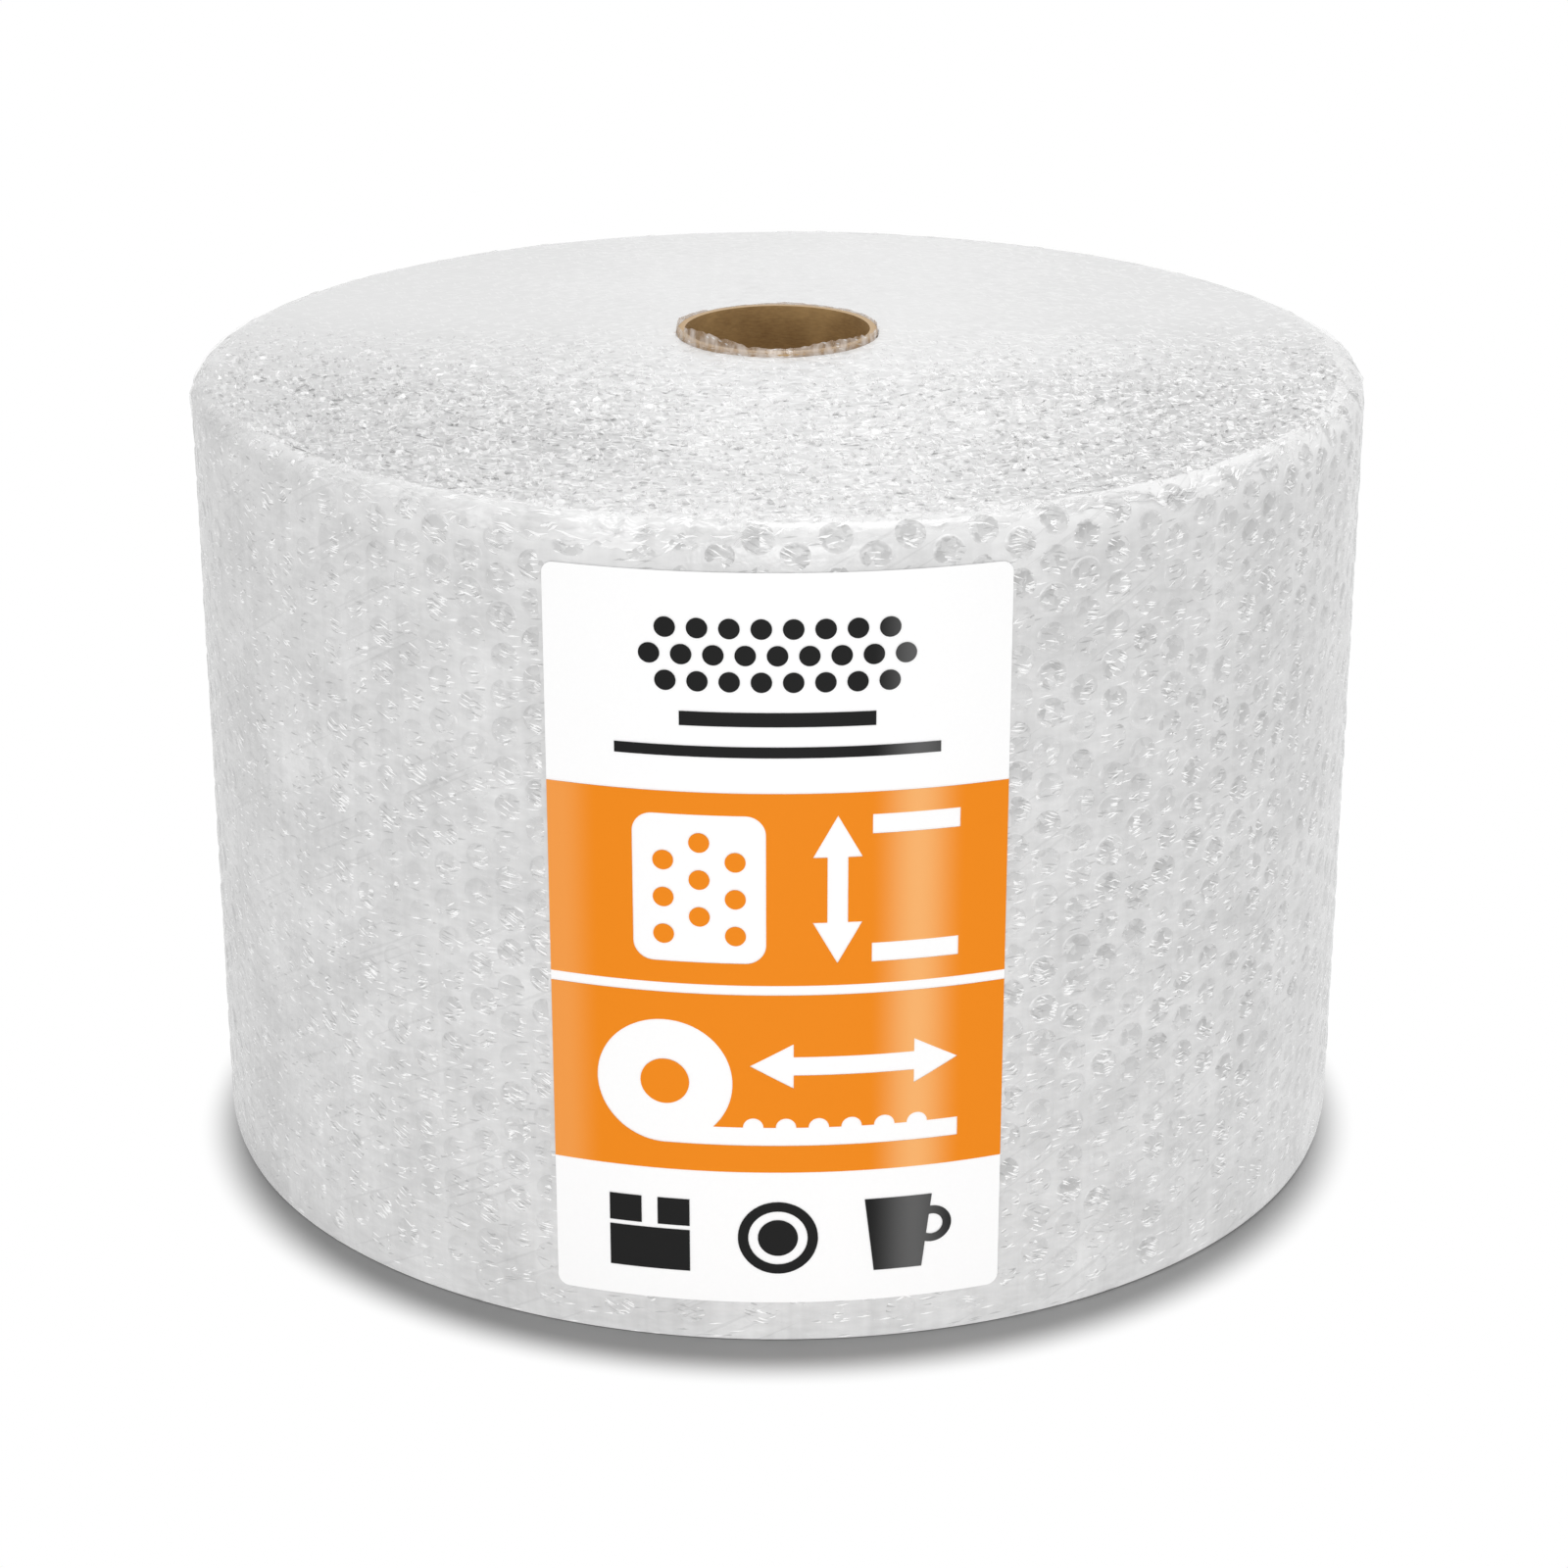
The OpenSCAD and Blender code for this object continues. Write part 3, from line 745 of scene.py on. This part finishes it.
def rim_material():
    material, tree = new_material("curled_film")
    place = add(tree, "Attribute", attribute_name="on_film").outputs["Vector"]
    drawn = add(tree, "VectorMath", {0: place, 1: (0.35, 1.0, 1.0)}, operation="MULTIPLY")
    crumple = add(tree, "TexNoise", {"Vector": drawn, "Scale": 0.4, "Detail": 4.0, "Distortion": 1.0})
    level = add(tree, "MapRange", {"Value": crumple, "From Min": 0.35, "From Max": 0.65})
    # The crumples painted from a grey shade to a white highlight, then painted shade and glints on folds
    colour = add(tree, "Mix", {
        "Factor": level, "A": linear(PAINTED_RIM_SHADE), "B": linear(PAINTED_GLINT)}, data_type="RGBA")
    slow = add(tree, "TexNoise", {"Vector": place, "Scale": 0.12, "Detail": 1.0})
    bent = add(tree, "VectorMath", {0: slow.outputs["Color"], 1: (4.0, 4.0, 0.0), 2: place},
               operation="MULTIPLY_ADD")
    colour = with_folds(tree, colour, folds(tree, bent, 0.1, 5.0, 1.0, 0.85), PAINTED_FOLD_SHADE, 0.25)
    look = add(tree, "Attribute", attribute_name="look").outputs["Vector"]
    layers, lively = add(tree, "SeparateXYZ", {0: look}).outputs[:2]
    few = add(tree, "Math", {0: layers, 1: -0.35, 2: 0.88}, operation="MULTIPLY_ADD")
    level_folds = folds(tree, bent, 0.05, 12.0, 1.0, few)
    slanted = folds(tree, bent, -0.4, 7.0, 1.1, 0.86)
    shining = add(tree, "Math", {0: level_folds, 1: slanted}, operation="MAXIMUM")
    colour = with_folds(tree, colour, shining, PAINTED_GLINT)
    # Layers painted whiter: partly their own whiteness, partly a painted highlight
    colour = with_folds(tree, colour, layers, PAINTED_GLINT, 0.7)
    thick = add(tree, "MapRange", {"Value": layers, "To Min": RIM_COVER, "To Max": 0.85})
    cover = add(tree, "Math", {0: thick, 1: shining}, operation="MAXIMUM")
    cover = add(tree, "Math", {0: cover, 1: lively}, operation="MULTIPLY")
    finish_material(tree, {
        "Base Color": colour, "Roughness": 0.1, "IOR": FILM_IOR, "Alpha": cover}, crumple, 0.35)
    return material


def build_rim():
    row, column = np.meshgrid(np.arange(RIM_BAND_ROWS), np.arange(RIM_STEPS + 1), indexing="ij")
    arc = ROLL_R * 2 * math.pi * column / RIM_STEPS
    angle = FREE_END + 2 * math.pi * column / RIM_STEPS
    share = row / (RIM_BAND_ROWS - 1)
    curl = 0.6 + 1.4 * smooth_noise(0 * row, arc, 17.0) + 1.1 * smooth_noise(0 * row, arc, 2.4)
    dip = 0 * curl
    layers = 0 * curl
    for middle, reach, down, narrow in RIM_CURLS:
        off = degrees_off(angle, middle)
        curl = curl + down * np.exp(-(off / reach) ** 2)
        dip = dip + narrow * np.exp(-(off / reach) ** 2)
        layers = layers + np.exp(-(off / reach) ** 4)
    layers = np.clip(layers * (0.95 + 0.4 * smooth_noise(0 * row, arc, 12.0)), 0, 1)
    lively = (unrest(ROLL_R, angle) - LEAST_UNREST) / (1 - LEAST_UNREST)
    lively = lively * np.interp(np.abs(arc - RIM_AT), RIM_REACH, (1.0, RIM_FAR_SHARE))
    low_edge = np.maximum(FILM_W - 2 - curl, LABEL_HIGH + 1)
    ragged = 1.7 * smooth_noise(0 * row, arc, 14.0) + 0.9 * smooth_noise(0 * row, arc, 2.2)
    high_edge = FILM_W + 5 - dip + ragged * unrest(ROLL_R, angle)
    high_edge = np.minimum(high_edge, FILM_W + TOP_ROUND * (math.pi / 2 - 1) + 3)
    up = low_edge + (high_edge - low_edge) * share
    wrinkle = 0.45 * smooth_noise(row, arc, 8.0) + 0.2 * smooth_noise(row, arc, 2.5)
    loose = (0.9 + np.clip(wrinkle, -0.7, 1.2)) * unrest(ROLL_R, angle)
    out = 0.2 + loose * np.sqrt(np.sin(math.pi * share))
    points = last_turn(last_radius(angle), angle, up, out)
    on_film = np.stack([arc, up, 0 * arc], -1)
    look = np.stack([layers, lively, 0 * arc], -1)
    make_piece(
        "rim_film", points, grid_faces(*row.shape), "wrap", rim_material(), on_film=on_film, look=look)


build_rim()

# %% [markdown]
# ## Cardboard, wound in a spiral
# The tube is kraft board: brown, matt and fibrous. Its colour is mottled at the width of a finger,
# and fine fibres run round the tube. Where it was sawn, the cut is paler and rough.

# %% Make the finish of the tube
BOARD = "#D4B078"
BOARD_DARK = "#927044"
BOARD_CUT = "#BCA280"


def board_material():
    material, tree = new_material("kraft_board")
    place = add(tree, "TexCoord").outputs["Object"]

    # Mottles of 22 mm, and fibres drawn at 2.5 by 0.6 mm, coarser than real ones, so that they show
    mottle = add(tree, "TexNoise", {"Vector": place, "Scale": 45.0, "Detail": 5.0})
    drawn = add(tree, "VectorMath", {0: place, 1: (1.0, 1.0, 4.0)}, operation="MULTIPLY")
    fibre = add(tree, "TexNoise", {"Vector": drawn, "Scale": 400.0, "Detail": 3.0})
    both = add(tree, "Math", {0: fibre, 1: 0.4, 2: mottle}, operation="MULTIPLY_ADD")
    level = add(tree, "MapRange", {"Value": both, "From Min": 0.4, "From Max": 1.0})
    board = add(tree, "Mix", {
        "Factor": level, "A": linear(BOARD_DARK), "B": linear(BOARD)}, data_type="RGBA")
    upward = add(tree, "SeparateXYZ", {0: add(tree, "NewGeometry").outputs["Normal"]}).outputs[2]
    sawn = add(tree, "MapRange", {"Value": upward, "From Min": 0.4, "From Max": 0.8})
    colour = add(tree, "Mix", {"Factor": sawn, "A": board, "B": linear(BOARD_CUT)}, data_type="RGBA")
    finish_material(tree, {"Base Color": colour, "Roughness": 0.85}, both, 0.4)
    return material


def set_finish(node, finish):
    """Give a solid of the frame its finish."""
    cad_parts[node].data.materials.clear()
    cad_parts[node].data.materials.append(finish)


set_finish("core", board_material())

# %% [markdown]
# ## The torn rim of the tube
# The saw has torn the tube's rim. Shreds of its paper stand up all round, and the first turn of film
# is pulled up over it as a thin ragged collar, through which the board shows. Dust of the board has
# stained it, and in two places it is pulled up further.

# %% Build the torn rim
FRAY = 170
COLLAR_STEPS = 300
COLLAR_ROWS = 7
COLLAR_LAP = 4
STAIN_DARK = "#B8A088"
STAIN_LIGHT = "#DCCFC4"
BOARD_TONES = ("#A58460", "#C4AC8C", "#DACAB2", "#ECE4D8", "#F8F4EE")

# The middle and the reach of each pull in degrees, and its height in mm
COLLAR_PULLS = ((212, 40, 2.6), (325, 28, 1.8))

fray_finish = strip_material("torn_board", BOARD_TONES, 0.6, 1.5, 0.8)
build_strips(
    "core_fray", "core", fray_finish, chance.uniform(CORE_R - CORE_WALL, CORE_R + 1.5, FRAY),
    lambda reach: CORE_TOP + 0 * reach, 1, 0.5, (2.0, 7.0), (0.3, 1.4))


def collar_material():
    material, tree = new_material("stretched_film")
    place = add(tree, "Attribute", attribute_name="on_film").outputs["Vector"]
    drawn = add(tree, "VectorMath", {0: place, 1: (1.0, 0.5, 1.0)}, operation="MULTIPLY")
    crumple = add(tree, "TexNoise", {"Vector": drawn, "Scale": 0.25, "Detail": 2.0})
    # Painted glints on the collar's folds
    bright = folds(tree, place, 0.3, 3.0, 0.8, 0.93)
    stained = add(tree, "MapRange", {"Value": crumple, "From Min": 0.4, "From Max": 0.6})
    film = add(tree, "Mix", {
        "Factor": stained, "A": linear(STAIN_DARK), "B": linear(STAIN_LIGHT)}, data_type="RGBA")
    colour = with_folds(tree, film, bright, PAINTED_GLINT)
    cover = add(tree, "MapRange", {
        "Value": crumple, "From Min": 0.35, "From Max": 0.65, "To Min": 0.4, "To Max": 0.8})
    finish_material(tree, {
        "Base Color": colour, "Roughness": 0.15, "IOR": FILM_IOR, "Alpha": cover}, crumple, 0.2)
    return material


def build_collar():
    row, column = np.meshgrid(np.arange(COLLAR_ROWS), np.arange(COLLAR_STEPS + 1), indexing="ij")
    angle = FREE_END + 2 * math.pi * column / COLLAR_STEPS
    arc = CORE_R * (angle - FREE_END)
    ragged = 2.8 + 1.4 * smooth_noise(0 * row, arc, 9.0) + 0.5 * smooth_noise(0 * row, arc, 1.8)
    ragged = ragged * unrest(CORE_R, angle)
    for middle, reach_round, pull in COLLAR_PULLS:
        off = degrees_off(angle, middle)
        ragged = ragged + pull * np.exp(-(off / reach_round) ** 2)
    ragged = np.clip(ragged, 0.2, 6.0)
    up = row / (COLLAR_ROWS - 1)
    height = CORE_TOP - COLLAR_LAP + (COLLAR_LAP + ragged) * up
    reach = CORE_R + 0.4 + 0.25 * np.abs(smooth_noise(0 * row, arc, 5.0)) - 0.8 * up
    points = np.stack([reach * np.cos(angle), reach * np.sin(angle), height], -1)
    on_film = np.stack([arc, height, 0 * arc], -1)
    make_piece("core_collar", points, grid_faces(*row.shape), "wrap", collar_material(), on_film=on_film)


build_collar()

# %% [markdown]
# ## Label paper and ink
# The label is coated white paper with a soft gloss, printed in orange and black. The inks have dried
# matt and porous, so they mirror less than the paper, and their IOR is set lower than that of a
# closed coat. Two paler bands run down the label, one at its left edge and one right of its middle:
# a painted sheen, as of a tall lamp mirrored in the label, laid into both inks. The grain of the
# paper is finer than the 1 mm at which it is drawn here, so that it shows.

# %% Make the finishes of the label
PAPER = "#FDFDFD"
PAPER_DARK = "#FAFAFA"
ORANGE = "#EE8700"
ORANGE_SHEEN = "#F5B069"
INK = "#060606"
INK_SHEEN = "#5A5A5A"
INK_IOR = 1.3
GRAIN = 900.0
GRAIN_DEPTH = 0.1

# Places across the label as shares of its width, and how strong the painted sheen is there
SHEEN_BANDS = ((0.0, 0.4), (0.03, 0.4), (0.11, 0.0), (0.70, 0.0), (0.805, 1.0), (0.91, 0.0))


def paper_material():
    material, tree = new_material("coated_paper")
    place = add(tree, "TexCoord").outputs["Object"]
    grain = add(tree, "TexNoise", {"Vector": place, "Scale": GRAIN, "Detail": 2.0})
    colour = add(tree, "Mix", {
        "Factor": grain, "A": linear(PAPER_DARK), "B": linear(PAPER)}, data_type="RGBA")
    finish_material(tree, {"Base Color": colour, "Roughness": 0.4}, grain, 0.05, GRAIN_DEPTH)
    return material


def ink_material(name, full, sheen):
    """An ink that fades from its full colour to a painted sheen where SHEEN_BANDS says."""
    material, tree = new_material(name)
    place = add(tree, "TexCoord").outputs["Object"]
    across = add(tree, "SeparateXYZ", {0: place}).outputs[0]
    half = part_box("label")[1].x
    share = add(tree, "MapRange", {"Value": across, "From Min": -half, "From Max": half})
    ramp = add(tree, "ValToRGB", {"Fac": share})
    ramp.color_ramp.interpolation = "EASE"
    ramp.color_ramp.elements[0].color = (SHEEN_BANDS[0][1],) * 3 + (1.0,)
    ramp.color_ramp.elements[1].color = (0.0, 0.0, 0.0, 1.0)
    for spot, sheen_share in SHEEN_BANDS[1:]:
        ramp.color_ramp.elements.new(spot).color = (sheen_share,) * 3 + (1.0,)
    colour = add(tree, "Mix", {"Factor": ramp, "A": linear(full), "B": linear(sheen)}, data_type="RGBA")
    grain = add(tree, "TexNoise", {"Vector": place, "Scale": GRAIN, "Detail": 2.0})
    finish_material(tree, {
        "Base Color": colour, "Roughness": 0.55, "IOR": INK_IOR}, grain, 0.05, GRAIN_DEPTH)
    return material


set_finish("label", paper_material())
set_finish("orange_print", ink_material("orange_ink", ORANGE, ORANGE_SHEEN))
set_finish("dark_print", ink_material("black_ink", INK, INK_SHEEN))

# %% [markdown]
# ## Floor, light and camera
# The roll stands on a white floor under an even white sky, with a wide soft lamp overhead, one in
# front and a small one on the left that adds real glints to the painted ones. The floor is matt close
# to the roll, so that it takes the shadow, and there it is darker for the camera, a painted shadow over
# the real one; further out it is plain white for the camera. Rays that only carry light meet a paler
# floor that glows at half strength all over, which lights the foot of the roll.

# %% Set the stage
FLOOR_SIZE = 12.0
SHADOW_MIDDLE = (0.0, -0.02, 0.0)
SHADOW_REACH = (0.208, 0.231)
PAINTED_SHADOW_TONE = 0.36
FAR_FLOOR = 0.96
FILL = 0.5
SKY = 0.60
WHITE = (1.0, 1.0, 1.0, 1.0)
LAMP_AIM = Vector((0.0, 0.0, 0.15))


def seen_rays(tree, ray):
    """1 for rays from the camera, and for those that see the background in or through a surface."""
    mirrored = add(tree, "Math", {
        0: ray.outputs["Is Camera Ray"], 1: ray.outputs["Is Glossy Ray"]}, operation="MAXIMUM")
    return add(tree, "Math", {
        0: mirrored, 1: ray.outputs["Is Transmission Ray"]}, operation="MAXIMUM")


def build_floor():
    mesh = bpy.data.meshes.new("floor")
    half = FLOOR_SIZE / 2
    corners = [(-half, -half, 0), (half, -half, 0), (half, half, 0), (-half, half, 0)]
    mesh.from_pydata(corners, [], [(0, 1, 2, 3)])
    floor = bpy.data.objects.new("floor", mesh)
    bpy.context.scene.collection.objects.link(floor)
    material, tree = new_material("white_floor")
    ray = add(tree, "LightPath")
    # For the camera the matt floor is darker: a painted shadow over the real one near the roll
    tone = add(tree, "MapRange", {
        "Value": ray.outputs["Is Camera Ray"], "To Min": FAR_FLOOR, "To Max": PAINTED_SHADOW_TONE})
    place = add(tree, "TexCoord").outputs["Object"]
    far = add(tree, "VectorMath", {0: place, 1: SHADOW_MIDDLE}, operation="DISTANCE")
    blend = add(tree, "MapRange", {
        "Value": far.outputs["Value"], "From Min": SHADOW_REACH[0], "From Max": SHADOW_REACH[1]},
        interpolation_type="SMOOTHSTEP")
    share = add(tree, "Mix", {
        "Factor": seen_rays(tree, ray), "A": FILL, "B": blend}, data_type="FLOAT")
    matt = add(tree, "BsdfDiffuse", {"Color": tone})
    white = add(tree, "Emission", {"Color": WHITE, "Strength": 1.0})
    mixed = add(tree, "MixShader", {0: share, 1: matt, 2: white})
    add(tree, "OutputMaterial", {"Surface": mixed})
    mesh.materials.append(material)


def build_sky():
    world = bpy.data.worlds.new("sky")
    world.use_nodes = True
    tree = world.node_tree
    tree.nodes.clear()
    seen = seen_rays(tree, add(tree, "LightPath"))
    level = add(tree, "MapRange", {"Value": seen, "To Min": SKY, "To Max": 1.0})
    sky = add(tree, "Background", {"Color": WHITE, "Strength": level})
    add(tree, "OutputWorld", {"Surface": sky})
    bpy.context.scene.world = world


def build_lamp(name, place, width, depth, power):
    """A soft lamp that looks at the middle of the roll."""
    lamp = bpy.data.lights.new(name, "AREA")
    lamp.shape = "RECTANGLE"
    lamp.size = width
    lamp.size_y = depth
    lamp.energy = power
    holder = bpy.data.objects.new(name, lamp)
    holder.location = place
    holder.rotation_mode = "QUATERNION"
    holder.rotation_quaternion = (LAMP_AIM - Vector(place)).to_track_quat("-Z", "Y")
    bpy.context.scene.collection.objects.link(holder)


build_floor()
build_sky()
build_lamp("overhead_lamp", (0.3, 0.35, 3.0), 1.6, 1.2, 36.0)
build_lamp("front_lamp", (0.15, -2.6, 0.32), 1.4, 0.6, 13.8)
build_lamp("glint_lamp", (-1.1, -1.5, 2.2), 0.3, 0.22, 3.5)

# %% [markdown]
# ## The camera
# A camera 1.4 m away with a narrow field looks down on the roll by 21 degrees. Its place, its tilt
# and its focal length come from a fit to the roll's rims, the label and the tube's mouth.

# %% Place the camera
CAMERA_PLACE = (0.0, -1.355, 0.650)
PITCH_DOWN = 21.15
YAW_RIGHT = 0.107
FOCAL_PIXELS = 3745.0
IMAGE_PIXELS = 1600
SENSOR = 36.0

camera = bpy.data.cameras.new("camera")
camera.sensor_width = SENSOR
camera.lens = FOCAL_PIXELS * SENSOR / IMAGE_PIXELS
eye = bpy.data.objects.new("camera", camera)
eye.location = CAMERA_PLACE
eye.rotation_euler = (math.radians(90 - PITCH_DOWN), 0, -math.radians(YAW_RIGHT))
bpy.context.scene.collection.objects.link(eye)
bpy.context.scene.camera = eye
bpy.context.scene.view_settings.view_transform = "Standard"
